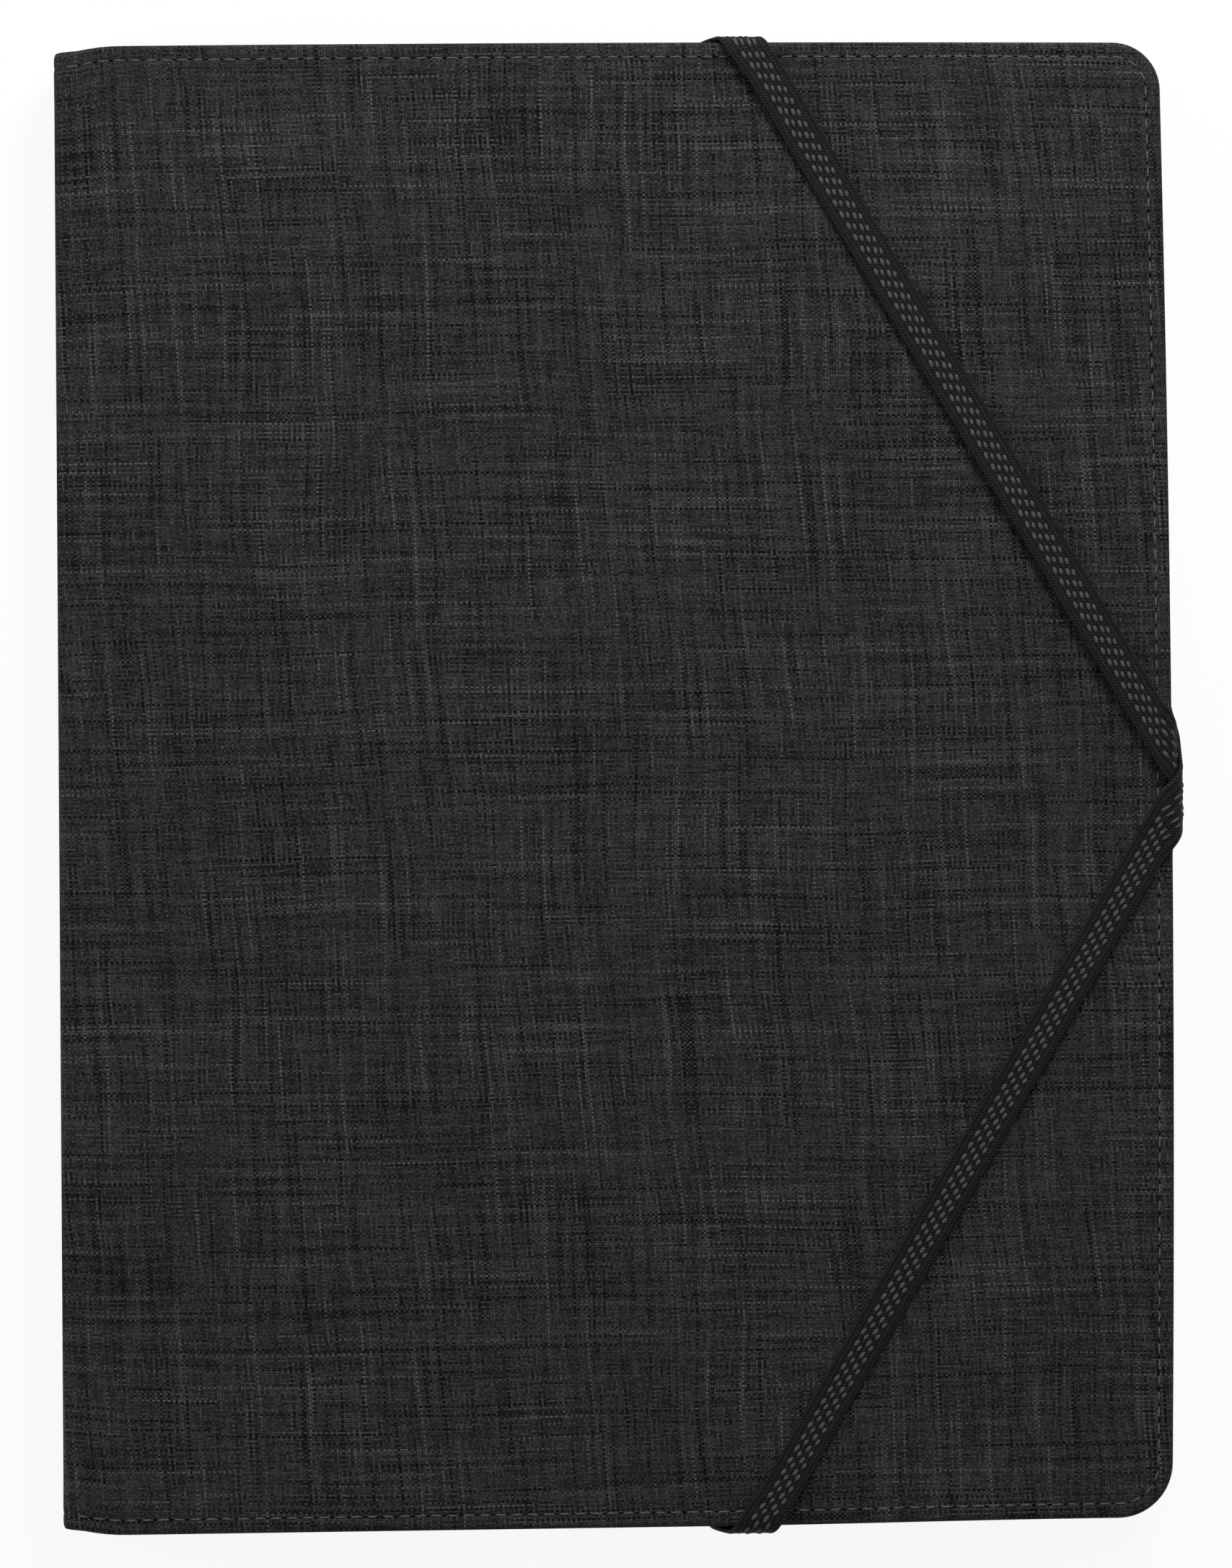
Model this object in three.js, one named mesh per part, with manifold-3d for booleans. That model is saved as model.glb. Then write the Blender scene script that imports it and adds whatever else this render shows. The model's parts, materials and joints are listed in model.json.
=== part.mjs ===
// A closed padfolio lying on its back cover: two fabric-covered boards joined by a soft spine,
// a writing pad in a sleeve, a pen loop, pockets in the front cover and one woven elastic band
// that closes it. Millimetres, +Z up, spine at -X, fore edge at +X, top edge at +Y.
// The origin is the middle of the footprint, on the surface that it lies on.

import * as THREE from "three";
import { mergeVertices } from "three/addons/utils/BufferGeometryUtils.js";
import Module from "manifold-3d";

const wasm = await Module();
wasm.setup();

// Writing pad, which sets the size of the covers
const padWidth = 216;
const padHeight = 298;
const pagesThickness = 5;
const cardThickness = 0.7;
const tapeThickness = 0.3;
const tapeLength = 18;

// Closed folder: the covers reach past the pad by a gutter at the spine and by margins
const spineGutter = 18;
const padMargin = 6;
const padEndMargin = 11;
const insideGap = 9.6;
const foreCornerRadius = 11;
const spineCornerRadius = 3;
const coverEdgeRadius = 1.5;

// Layers of one cover, from the outside in
const fabricThickness = 0.6;
const boardThickness = 1.6;
const liningThickness = 0.6;
const layerGap = 0.05;
const hemWidth = 15;
const liningInset = 2;
const boardInset = 0.9;
const hemEdgeRadius = 0.3;

// Spine panel, which lies between the two covers
const spineHingeGap = 0.3;
const spineHemLength = 12;
const spineFoldGap = 0.1;
const spineEndInset = 3;

// Sleeve that holds the pad's backing card
const sleeveThickness = 0.5;
const sleeveSeamLeft = 4.5;
const sleeveSeamRight = 3;
const sleeveSeamBottom = 7;
const sleeveMouthDrop = 40;
const sleeveBevel = 0.6;
const cardClearance = 0.4;

// Pen loop in the gutter between the spine and the pad
const penLoopWidth = 10.4;
const penLoopLength = 26;
const penLoopWall = 0.8;
const penLoopCorner = 3;
const penLoopFromSpine = 2.6;
const penLoopHeadroom = 0.4;
const penLoopCentreY = 30;

// Pockets inside the front cover
const pocketThickness = 0.6;
const pocketSideMargin = 14;
const pocketForeMargin = 3.5;
const pocketFootMargin = 3.5;
const pocketMouthY = 70;
const cardPocketCount = 3;
const cardPocketThickness = 0.45;
const cardPocketWidth = 98;
const cardPocketTallest = 104;
const cardPocketStep = 24;
const cardPocketFootY = -62;
const cardPocketFromFore = 22;

// Elastic band
const bandWidth = 8;
const bandThickness = 0.9;
const bandClearance = 0.3;
const bandTopFromSpine = 150;
const bandBackFromSpine = 144;
const bandRimOffset = 7;
const bandEndOnBack = 16;
const bandCrossingGap = 0.3;
const bandCrossingFlat = 8;
const bandCrossingRamp = 10;
const bandTurnLength = 22;
const bandColumns = 8;
const bandFineStep = 1.8;

// Sizes and heights worked out from the pad and the layers
const coverWidth = spineGutter + padWidth + padMargin;
const coverHeight = padHeight + 2 * padEndMargin;
const boardFloor = fabricThickness + layerGap;
const hemFloor = boardFloor + boardThickness + layerGap;
const hemTop = hemFloor + fabricThickness;
const liningFloor = hemTop + layerGap;
const coverThickness = liningFloor + liningThickness;
const backOuter = bandThickness + bandClearance;
const backInner = backOuter + coverThickness;
const frontInner = backInner + insideGap;
const frontOuter = frontInner + coverThickness;
const spineX = -coverWidth / 2;
const foreX = coverWidth / 2;
const topY = coverHeight / 2;

// How far the crossed band stands out past the fore edge, which sets the middle of the footprint
const bandReach = bandClearance + 2 * bandThickness + bandCrossingGap;

function standard(color, roughness) {
  return new THREE.MeshStandardMaterial({ color, roughness, metalness: 0 });
}

const materials = {
  outerFabric: standard(0x2d2d2f, 0.95),
  lining: standard(0x242427, 0.9),
  board: standard(0x8d8a84, 0.9),
  paper: standard(0xf2f1ec, 0.85),
  card: standard(0x9a8a70, 0.9),
  tape: standard(0x1d1d20, 0.8),
  elastic: standard(0x0d0d0e, 0.85),
};

// One corner of an outline, as an arc that runs anticlockwise
function cornerArc(cx, cy, radius, startAngle, steps) {
  const points = [];
  for (let i = 0; i <= steps; i++) {
    const angle = startAngle + (Math.PI / 2) * (i / steps);
    points.push([cx + radius * Math.cos(angle), cy + radius * Math.sin(angle)]);
  }
  return points;
}

// A rectangle with its own corner radius at each end, drawn in by an inset
function outline(box, spineRadius, foreRadius, inset) {
  const left = box.left + inset;
  const right = box.right - inset;
  const low = box.low + inset;
  const high = box.high - inset;
  const spine = Math.max(spineRadius - inset, 0.05);
  const fore = Math.max(foreRadius - inset, 0.05);
  return [
    ...cornerArc(right - fore, high - fore, fore, 0, 8),
    ...cornerArc(left + spine, high - spine, spine, Math.PI / 2, 4),
    ...cornerArc(left + spine, low + spine, spine, Math.PI, 4),
    ...cornerArc(right - fore, low + fore, fore, 1.5 * Math.PI, 8),
  ];
}

// A closed body from equal rings of points, flat at both ends
function loft(rings) {
  const count = rings[0].length;
  const positions = rings.flat(2);
  const indices = [];
  for (let r = 0; r + 1 < rings.length; r++) {
    for (let i = 0; i < count; i++) {
      const next = (i + 1) % count;
      const a = r * count + i;
      const b = r * count + next;
      const c = a + count;
      const d = b + count;
      indices.push(a, b, d, a, d, c);
    }
  }
  const first = rings[0].map((p) => new THREE.Vector2(p[0], p[1]));
  const lastRing = (rings.length - 1) * count;
  for (const [a, b, c] of THREE.ShapeUtils.triangulateShape(first, [])) {
    indices.push(c, b, a);
    indices.push(lastRing + a, lastRing + b, lastRing + c);
  }
  const geometry = new THREE.BufferGeometry();
  geometry.setAttribute("position", new THREE.Float32BufferAttribute(positions, 3));
  geometry.setIndex(indices);
  return geometry;
}

// A slab whose edge follows a list of [inset, height] steps
function slab(box, spineRadius, foreRadius, steps) {
  return loft(steps.map(([inset, z]) =>
    outline(box, spineRadius, foreRadius, inset).map(([x, y]) => [x, y, z])));
}

function plate(box, low, high) {
  const geometry = new THREE.BoxGeometry(box.right - box.left, box.high - box.low, high - low);
  geometry.translate((box.left + box.right) / 2, (box.low + box.high) / 2, (low + high) / 2);
  return geometry;
}

function toSolid(geometry) {
  const bare = geometry.clone();
  bare.deleteAttribute("normal");
  bare.deleteAttribute("uv");
  const merged = mergeVertices(bare, 1e-4);
  return new wasm.Manifold(new wasm.Mesh({
    numProp: 3,
    vertProperties: new Float32Array(merged.attributes.position.array),
    triVerts: new Uint32Array(merged.index.array),
  }));
}

function fromSolid(solid) {
  const mesh = solid.getMesh();
  const geometry = new THREE.BufferGeometry();
  geometry.setAttribute("position", new THREE.Float32BufferAttribute(mesh.vertProperties, 3));
  geometry.setIndex([...mesh.triVerts]);
  return geometry;
}

function cut(geometry, ...tools) {
  return fromSolid(tools.reduce((solid, tool) => solid.subtract(toSolid(tool)), toSolid(geometry)));
}

// Adds one sub-part to a group
function add(group, name, geometry, material) {
  const mesh = new THREE.Mesh(geometry, material);
  mesh.name = name;
  group.add(mesh);
}

const coverBox = { left: spineX, right: foreX, low: -topY, high: topY };

function coverSlab(steps) {
  return slab(coverBox, spineCornerRadius, foreCornerRadius, steps);
}

// Outer fabric of one cover: a shallow tray with a rounded edge and a hem turned in over the board
function coverFabric() {
  const edge = [];
  for (let i = 0; i <= 4; i++) {
    const angle = (Math.PI / 2) * (i / 4);
    edge.push([coverEdgeRadius * (1 - Math.sin(angle)), coverEdgeRadius * (1 - Math.cos(angle))]);
  }
  edge.push([0, hemTop - hemEdgeRadius]);
  edge.push([hemEdgeRadius, hemTop]);
  const boardSpace = coverSlab([[fabricThickness, fabricThickness], [fabricThickness, hemFloor]]);
  const hemOpening = coverSlab([[hemWidth, hemFloor - layerGap], [hemWidth, hemTop + layerGap]]);
  return cut(coverSlab(edge), boardSpace, hemOpening);
}

function coverBoard() {
  return coverSlab([[boardInset, boardFloor], [boardInset, boardFloor + boardThickness]]);
}

function coverLining() {
  return coverSlab([[liningInset, liningFloor], [liningInset, coverThickness]]);
}

// One cover with its outer face at height 0 and its lining on top
function cover(name) {
  const group = new THREE.Group();
  add(group, `${name}_cover_fabric`, coverFabric(), materials.outerFabric);
  add(group, `${name}_cover_board`, coverBoard(), materials.board);
  add(group, `${name}_cover_lining`, coverLining(), materials.lining);
  return group;
}

// Spine: the outer fabric with its two ends turned in, and the lining that covers them
function spine() {
  const group = new THREE.Group();
  const low = backInner + spineHingeGap;
  const high = frontInner - spineHingeGap;
  const end = topY - spineEndInset;
  const foldDepth = fabricThickness + spineFoldGap;
  const total = foldDepth + fabricThickness;
  const shape = new THREE.Shape([
    [0, -end], [total, -end], [total, -end + spineHemLength], [foldDepth, -end + spineHemLength],
    [foldDepth, -end + fabricThickness], [fabricThickness, -end + fabricThickness],
    [fabricThickness, end - fabricThickness], [foldDepth, end - fabricThickness],
    [foldDepth, end - spineHemLength], [total, end - spineHemLength], [total, end], [0, end],
  ].map(([x, y]) => new THREE.Vector2(x, y)));
  const fabric = new THREE.ExtrudeGeometry(shape, { depth: high - low, bevelEnabled: false });
  fabric.translate(spineX, 0, low);
  add(group, "spine_fabric", fabric, materials.outerFabric);
  const liningLeft = spineX + total + layerGap;
  const liningBox = {
    left: liningLeft,
    right: liningLeft + liningThickness,
    low: -end + liningInset,
    high: end - liningInset,
  };
  add(group, "spine_lining", plate(liningBox, low, high), materials.lining);
  return group;
}

// Heights of the pad's layers above the back cover's lining
const tapeFloor = backInner + layerGap;
const cardFloor = tapeFloor + tapeThickness + layerGap;
const cardTop = cardFloor + cardThickness;
const sleeveTop = cardTop + layerGap + sleeveThickness;
const pagesFloor = sleeveTop + layerGap;
const pagesTop = pagesFloor + pagesThickness;
const padRight = foreX - padMargin;
const padBox = { left: padRight - padWidth, right: padRight, low: -padHeight / 2, high: padHeight / 2 };

// Sleeve: a lining panel sewn down on three sides, open at the top, with the card slid into it
function padSleeve() {
  const box = {
    left: padBox.left - sleeveSeamLeft,
    right: padBox.right + sleeveSeamRight,
    low: padBox.low - sleeveSeamBottom,
    high: padBox.high - sleeveMouthDrop,
  };
  const outer = slab(box, sleeveBevel, sleeveBevel, [
    [0, backInner + layerGap],
    [0, sleeveTop - sleeveBevel],
    [sleeveBevel, sleeveTop],
  ]);
  const cardSpace = {
    left: padBox.left - cardClearance,
    right: padBox.right + cardClearance,
    low: padBox.low - cardClearance,
    high: padBox.high + cardClearance,
  };
  return cut(outer, plate(cardSpace, backInner - layerGap, cardTop + layerGap));
}

// Cloth tape folded over the pad's head, from the front page to the back of the card
function bindingTape() {
  const head = padBox.high + layerGap;
  const foot = padBox.high - tapeLength;
  const outerHead = head + tapeThickness;
  const top = pagesTop + layerGap + tapeThickness;
  const shape = new THREE.Shape([
    [foot, tapeFloor], [outerHead, tapeFloor], [outerHead, top], [foot, top],
    [foot, pagesTop + layerGap], [head, pagesTop + layerGap],
    [head, tapeFloor + tapeThickness], [foot, tapeFloor + tapeThickness],
  ].map(([y, z]) => new THREE.Vector2(y, z)));
  const geometry = new THREE.ExtrudeGeometry(shape, { depth: padWidth, bevelEnabled: false });
  geometry.applyMatrix4(new THREE.Matrix4().set(
    0, 0, 1, padBox.left,
    1, 0, 0, 0,
    0, 1, 0, 0,
    0, 0, 0, 1,
  ));
  return geometry;
}

// Elastic loop for a pen: a flattened tube that lies along the spine
function penLoop() {
  const height = insideGap - penLoopHeadroom - layerGap;
  const half = penLoopWidth / 2;
  const ring = (inset) => {
    const box = { left: -half, right: half, low: 0, high: height };
    return outline(box, penLoopCorner, penLoopCorner, inset)
      .map(([x, z]) => new THREE.Vector2(x, z));
  };
  const shape = new THREE.Shape(ring(0));
  shape.holes.push(new THREE.Path(ring(penLoopWall)));
  const geometry = new THREE.ExtrudeGeometry(shape, { depth: penLoopLength, bevelEnabled: false });
  geometry.rotateX(Math.PI / 2);
  geometry.translate(
    spineX + penLoopFromSpine + half,
    penLoopCentreY + penLoopLength / 2,
    backInner + layerGap,
  );
  return geometry;
}

// Pockets, in the front cover's own heights: its lining ends at the cover's thickness
function frontPockets() {
  const group = new THREE.Group();
  const pocketFloor = coverThickness + layerGap;
  const pocketBox = {
    left: spineX + pocketSideMargin,
    right: foreX - pocketForeMargin,
    low: -pocketMouthY,
    high: topY - pocketFootMargin,
  };
  add(group, "document_pocket", plate(pocketBox, pocketFloor, pocketFloor + pocketThickness),
    materials.lining);
  for (let i = 0; i < cardPocketCount; i++) {
    const floor = pocketFloor + pocketThickness + layerGap + i * (cardPocketThickness + layerGap);
    const box = {
      left: foreX - cardPocketFromFore - cardPocketWidth,
      right: foreX - cardPocketFromFore,
      low: -cardPocketFootY - cardPocketTallest + i * cardPocketStep,
      high: -cardPocketFootY,
    };
    add(group, `card_pocket_${i + 1}`, plate(box, floor, floor + cardPocketThickness),
      materials.lining);
  }
  return group;
}

// The band lies on the closed covers and bends round their edges. A point of it is given on the
// front cover's plane, unrolled past the edges, with its height off the covers.
// Lengths round an edge are measured at the middle of the band's thickness.
const bendRadius = coverEdgeRadius + bandClearance + bandThickness / 2;
const rimHeight = frontOuter - backOuter;
const bendArc = (Math.PI / 2) * bendRadius;
const rimFlat = rimHeight - 2 * coverEdgeRadius;
const rimLength = 2 * bendArc + rimFlat;

// Distance past where an edge starts to bend, turned into [outward, height] from the front edge
function roundRim(distance, lift) {
  if (distance <= bendArc) {
    const angle = Math.max(distance, 0) / bendRadius;
    const radius = coverEdgeRadius + lift;
    const along = Math.min(distance, 0);
    return [along + radius * Math.sin(angle), frontOuter - coverEdgeRadius + radius * Math.cos(angle)];
  }
  if (distance <= bendArc + rimFlat) {
    return [coverEdgeRadius + lift, frontOuter - coverEdgeRadius - (distance - bendArc)];
  }
  if (distance <= rimLength) {
    const angle = (distance - bendArc - rimFlat) / bendRadius;
    const radius = coverEdgeRadius + lift;
    return [radius * Math.cos(angle), backOuter + coverEdgeRadius - radius * Math.sin(angle)];
  }
  return [rimLength - distance, backOuter - lift];
}

function onFolder(x, y, lift) {
  const foreStart = foreX - coverEdgeRadius;
  const endStart = topY - coverEdgeRadius;
  if (x > foreStart) {
    const [out, z] = roundRim(x - foreStart, lift);
    return [foreStart + out, y, z];
  }
  if (Math.abs(y) > endStart) {
    const [out, z] = roundRim(Math.abs(y) - endStart, lift);
    return [x, Math.sign(y) * (endStart + out), z];
  }
  return [x, y, frontOuter + lift];
}

// Half of the band, from its sewn end on the back, over the fore edge, up the front cover,
// over the top edge and down the back to the middle
const bandTopX = spineX + bandTopFromSpine;
const bandBackX = spineX + bandBackFromSpine;
const bandSlope = (topY - bandRimOffset) / (foreX - bandTopX);
const endUnrolled = foreX - coverEdgeRadius + rimLength + bandEndOnBack;
const backStart = topY - coverEdgeRadius + rimLength;

// The centre line: straight over the fore edge and the front, then turning to run down the back
function bandCentre(y) {
  const straightX = foreX - (y - bandRimOffset) / bandSlope;
  const turn = THREE.MathUtils.smoothstep(y, topY - bandTurnLength / 3, topY + bandTurnLength);
  return THREE.MathUtils.lerp(straightX, bandBackX, turn);
}

// Rows of the band from its end to the middle of the back, close together round the edges
function bandRows() {
  const endY = bandRimOffset - (endUnrolled - foreX) * bandSlope;
  const foreY = bandRimOffset + bandWidth * 2.2;
  const topStart = topY - bandWidth * 2;
  const topEnd = backStart + bandWidth;
  const rows = [];
  const stretch = (from, to, step) => {
    const count = Math.max(1, Math.round((to - from) / step));
    for (let i = 0; i < count; i++) rows.push(from + ((to - from) * i) / count);
  };
  stretch(endY, foreY, bandFineStep);
  stretch(foreY, topStart, topStart - foreY);
  stretch(topStart, topEnd, bandFineStep);
  rows.push(topEnd);
  return rows;
}

// How far the strap that lies on top is lifted where it crosses the other
function crossingLift(along) {
  const away = Math.abs(along);
  const rise = 1 - THREE.MathUtils.smoothstep(away, bandCrossingFlat, bandCrossingFlat + bandCrossingRamp);
  return rise * (bandThickness + bandCrossingGap);
}

function bandRow(y, side, lower) {
  const step = 0.01;
  const centre = bandCentre(y);
  const lean = Math.atan2(bandCentre(y + step) - centre, step);
  const crossX = foreX + bandRimOffset / bandSlope;
  const along = (crossX - centre) / Math.sin(Math.atan(1 / bandSlope));
  const lift = bandClearance + (lower && centre > bandTopX ? crossingLift(along) : 0);
  const row = [];
  const place = (offset, extra) => {
    const x = centre + offset * Math.cos(lean);
    const flatY = y - offset * Math.sin(lean);
    return onFolder(x, side * flatY, lift + extra);
  };
  for (let i = 0; i <= bandColumns; i++) {
    row.push(place(bandWidth * (i / bandColumns - 0.5), bandThickness));
  }
  for (let i = bandColumns; i >= 0; i--) {
    row.push(place(bandWidth * (i / bandColumns - 0.5), 0));
  }
  return row;
}

function elasticBand() {
  const upper = bandRows().map((y) => bandRow(y, 1, false));
  const lower = bandRows().map((y) => bandRow(y, -1, true)).reverse();
  const rows = [...upper, ...lower];
  const count = rows[0].length;
  const half = bandColumns + 1;
  const positions = rows.flat(2);
  const indices = [];
  for (let r = 0; r + 1 < rows.length; r++) {
    for (let i = 0; i < count; i++) {
      const a = r * count + i;
      const b = r * count + ((i + 1) % count);
      indices.push(a, b, b + count);
      indices.push(a, b + count, a + count);
    }
  }
  const last = (rows.length - 1) * count;
  for (let i = 0; i + 1 < half; i++) {
    const opposite = count - 1 - i;
    indices.push(i, opposite, opposite - 1);
    indices.push(i, opposite - 1, i + 1);
    indices.push(last + i, last + i + 1, last + opposite - 1);
    indices.push(last + i, last + opposite - 1, last + opposite);
  }
  const geometry = new THREE.BufferGeometry();
  geometry.setAttribute("position", new THREE.Float32BufferAttribute(positions, 3));
  geometry.setIndex(indices);
  return geometry;
}

const padfolio = new THREE.Group();
padfolio.position.x = -bandReach / 2;

const back = cover("back");
back.position.z = backOuter;
padfolio.add(back);

const front = cover("front");
front.add(...frontPockets().children);
front.rotation.x = Math.PI;
front.position.z = frontOuter;
padfolio.add(front);

padfolio.add(spine());

const pad = new THREE.Group();
add(pad, "pad_backing_card", plate(padBox, cardFloor, cardTop), materials.card);
add(pad, "pad_sleeve", padSleeve(), materials.lining);
add(pad, "pad_pages", plate(padBox, pagesFloor, pagesTop), materials.paper);
add(pad, "pad_binding_tape", bindingTape(), materials.tape);
padfolio.add(pad);

add(padfolio, "pen_loop", penLoop(), materials.elastic);
add(padfolio, "elastic_band", elasticBand(), materials.elastic);

export default padfolio;
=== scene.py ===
# A closed padfolio in heathered charcoal cloth, held shut by one crossed elastic band.
# Everything is in metres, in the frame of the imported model: +Z up, spine at -X, top edge at +Y.
import json
import math

import bpy
import numpy as np
from mathutils import Euler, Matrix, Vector
from mathutils.geometry import delaunay_2d_cdt

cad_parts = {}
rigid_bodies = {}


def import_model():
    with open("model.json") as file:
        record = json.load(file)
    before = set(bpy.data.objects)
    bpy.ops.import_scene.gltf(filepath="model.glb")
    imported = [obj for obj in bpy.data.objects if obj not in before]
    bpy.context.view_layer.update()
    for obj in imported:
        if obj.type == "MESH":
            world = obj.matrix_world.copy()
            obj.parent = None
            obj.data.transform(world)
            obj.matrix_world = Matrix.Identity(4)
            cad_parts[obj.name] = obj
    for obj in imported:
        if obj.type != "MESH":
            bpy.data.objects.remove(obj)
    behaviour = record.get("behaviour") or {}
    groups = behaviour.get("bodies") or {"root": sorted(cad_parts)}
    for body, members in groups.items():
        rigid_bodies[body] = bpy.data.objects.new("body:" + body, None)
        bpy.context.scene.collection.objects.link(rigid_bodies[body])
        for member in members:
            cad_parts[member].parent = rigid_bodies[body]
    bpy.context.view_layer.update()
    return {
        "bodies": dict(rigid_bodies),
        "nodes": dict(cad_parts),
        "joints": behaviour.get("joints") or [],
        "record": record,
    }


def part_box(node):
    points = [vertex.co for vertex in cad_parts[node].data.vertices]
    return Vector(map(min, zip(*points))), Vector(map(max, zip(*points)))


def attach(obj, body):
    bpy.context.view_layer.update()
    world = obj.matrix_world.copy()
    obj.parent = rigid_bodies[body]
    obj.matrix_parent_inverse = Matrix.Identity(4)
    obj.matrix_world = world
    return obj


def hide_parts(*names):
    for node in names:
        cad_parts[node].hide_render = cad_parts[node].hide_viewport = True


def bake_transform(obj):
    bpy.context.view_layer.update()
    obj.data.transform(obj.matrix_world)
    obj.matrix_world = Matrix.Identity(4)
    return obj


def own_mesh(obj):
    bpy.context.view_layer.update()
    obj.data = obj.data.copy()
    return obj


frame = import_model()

mm = 0.001
quarter_turn = math.pi / 2

# Camera, fitted to the photographed outline: degrees, and pixels of the photo
photo_height = 2174
camera_position = (-53.0 * mm, -13.2 * mm, 1067.0 * mm)
camera_turn = (0.747, -2.821, -0.462)
focal_pixels = 6741.0
sensor_height = 36.0

# Studio
world_strength = 0.38
key_place = (0.22, 0.64, 0.54)
key_size = 0.34
key_power = 6.4
fill_place = (-1.0, 0.1, 0.4)
fill_size = 0.8
fill_power = 6
floor_half_size = 6.0
floor_tone = 0.86
floor_glow = 0.9

# Covers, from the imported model
cover_low, cover_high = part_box("front_cover_fabric")
spine_x = cover_low[0]
fore_x = cover_high[0]
end_y = cover_high[1]
top_z = cover_high[2]
bottom_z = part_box("back_cover_fabric")[0][2]
middle_z = (top_z + bottom_z) / 2
inner_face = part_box("front_cover_lining")[0][2]

# Outer cloth
cloth_thickness = 0.5 * mm
cloth_depth = 2.9 * mm
cloth_edge_radius = 1.5 * mm
spine_depth = 1.3 * mm
spine_depth_start = 1.5 * mm
spine_depth_ramp = 3 * mm
spine_radius = 2.0 * mm
top_corner_radius = 10.2 * mm
foot_corner_radius = 11.8 * mm
hem_width = 15 * mm
hem_rows = (3.0 * mm, 7.0 * mm, hem_width)
ripple_height = 0.07 * mm
ripple_ramp = 14 * mm

# The cloth swells beside the sunk stitch line: distance from the line and depth
swell_inside = [
    (5.7 * mm, 0.0), (3.7 * mm, -0.02 * mm), (1.9 * mm, -0.06 * mm), (1.0 * mm, -0.05 * mm),
    (0.5 * mm, 0.03 * mm),
]
swell_outside = [(0.5 * mm, 0.02 * mm), (1.0 * mm, -0.03 * mm)]

# Bows of the cover's outline: how far it leaves the straight packed one
fore_bow = 1.45 * mm
fore_draw_in = 0.25 * mm
fore_bow_start = 150 * mm
fore_bow_ramp = 90 * mm
spine_bow = 0.7 * mm
spine_bow_start_y = 30 * mm
spine_bow_ramp = 60 * mm
head_bow = 0.9 * mm
head_bow_middle_x = 60 * mm
head_bow_reach = 175 * mm
foot_bow = 0.5 * mm
foot_bow_start_x = 20 * mm
foot_bow_ramp = 80 * mm
end_bow_ramp = 100 * mm
spine_corner_drop = 1.5 * mm
spine_corner_ramp = 16 * mm

# Mesh steps of the cloth
flat_step = 2.4 * mm
bend_step = 0.45 * mm
wall_step = 1.2 * mm
corner_steps = 16
edge_steps = 12
seam_corner_steps = 12
bend_columns = 7
wall_slack = 0.1 * mm
grid_step = 4 * mm
grid_rows = 80
grid_gap = 2 * mm
grid_gap_at_ends = 2.2 * mm
grid_corner = 14 * mm
grid_corner_radius = 4.5 * mm
merge_distance = 1e-7

# Weave: its sizes, and how fast its noises change along a thread and across to the next
weave_pitch = 0.565 * mm
weft_pitch = 0.473 * mm
warp_lean = 0.06
thread_roundness = 3.6
thread_apart = 7.31
lasting_rate = 0.012
slub_rate = 0.085
fleck_rate = 0.8

# Yarn of one stitch: how high it arches, how deep its ends dive and how much they taper
cover_yarn = dict(rings=7, sides=8, arch=0.26 * mm, dive=0.16 * mm, radius=0.19 * mm, taper=0.45)
panel_yarn = dict(rings=5, sides=6, arch=0.2 * mm, dive=0.12 * mm, radius=0.17 * mm, taper=0.4)

# Stitching of the covers
stitch_inset = 3.3 * mm
stitch_pitch = 3.45 * mm
stitch_length = 2.5 * mm
stitch_unevenness = 0.06
stitch_lean = 0.05
groove_depth = 0.2 * mm
seam_clearance = 0.5 * mm
hole_depth = 0.3 * mm
hole_rise = 0.06 * mm
hole_radius_below = 0.46 * mm
hole_radius_above = 0.38 * mm
inner_seam_inset = stitch_inset + 0.6 * mm
inner_seam_sunk = 0.04 * mm

# Linings, boards and pockets
lining_spine_radius = 1.2 * mm
lining_fore_radius = 9 * mm
board_spine_radius = 6 * mm
board_fore_radius = 9 * mm
board_trim = 1.6 * mm
pocket_radius = 0.8 * mm
least_radius = 0.05 * mm
panel_corner_steps = 8
panel_roll_share = 0.48
panel_roll_steps = 4
panel_inner_inset = 12 * mm
small_panel_height = 60 * mm
small_panel_inner_inset = 5 * mm
panel_groove_depth = 0.14 * mm
panel_groove_half_width = 0.8 * mm
pocket_seam_inset = 2.2 * mm
card_pocket_seam_inset = 1.6 * mm
panel_stitch_pitch = 3.2 * mm
panel_stitch_half_length = 1.1 * mm
panel_seam_sunk = 0.06 * mm
fold_inset = 0.05 * mm
fold_thickness = 0.3 * mm
fold_end_gap = 4 * mm
fold_face_gap = 0.1 * mm
spine_lining_reach = 0.9 * mm
spine_lining_bend = 0.5 * mm
spine_lining_rows = 60
spine_lining_columns = 9

# Elastic band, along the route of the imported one
band_width = 8 * mm
band_thickness = 0.9 * mm
band_selvedge = 0.42 * mm
band_dent = 0.1 * mm
band_selvedge_steps = 6
band_section_steps = 10
band_lift = 0.3 * mm
band_edge_radius = 1.5 * mm
band_top_x = spine_x + 150 * mm
band_back_x = spine_x + 144 * mm
band_rim_offset = 7 * mm
band_end_on_back = 16 * mm
band_crossing_gap = 0.3 * mm
band_crossing_flat = 8 * mm
band_crossing_ramp = 10 * mm
band_turn_length = 22 * mm
band_rim_lift = 1.2 * mm
band_rim_lift_flat = 12 * mm
band_rim_lift_ramp = 70 * mm
band_end_lift = 1.0 * mm
band_end_lift_flat = 6 * mm
band_end_lift_ramp = 30 * mm
band_lift_fade = 2 * mm
band_fine_step = 0.8 * mm
band_coarse_step = 4.0 * mm
band_fine_from_fore = 45 * mm
band_fine_at_ends = 12 * mm
slope_step = 0.1 * mm
lean_step = 0.01 * mm

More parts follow.
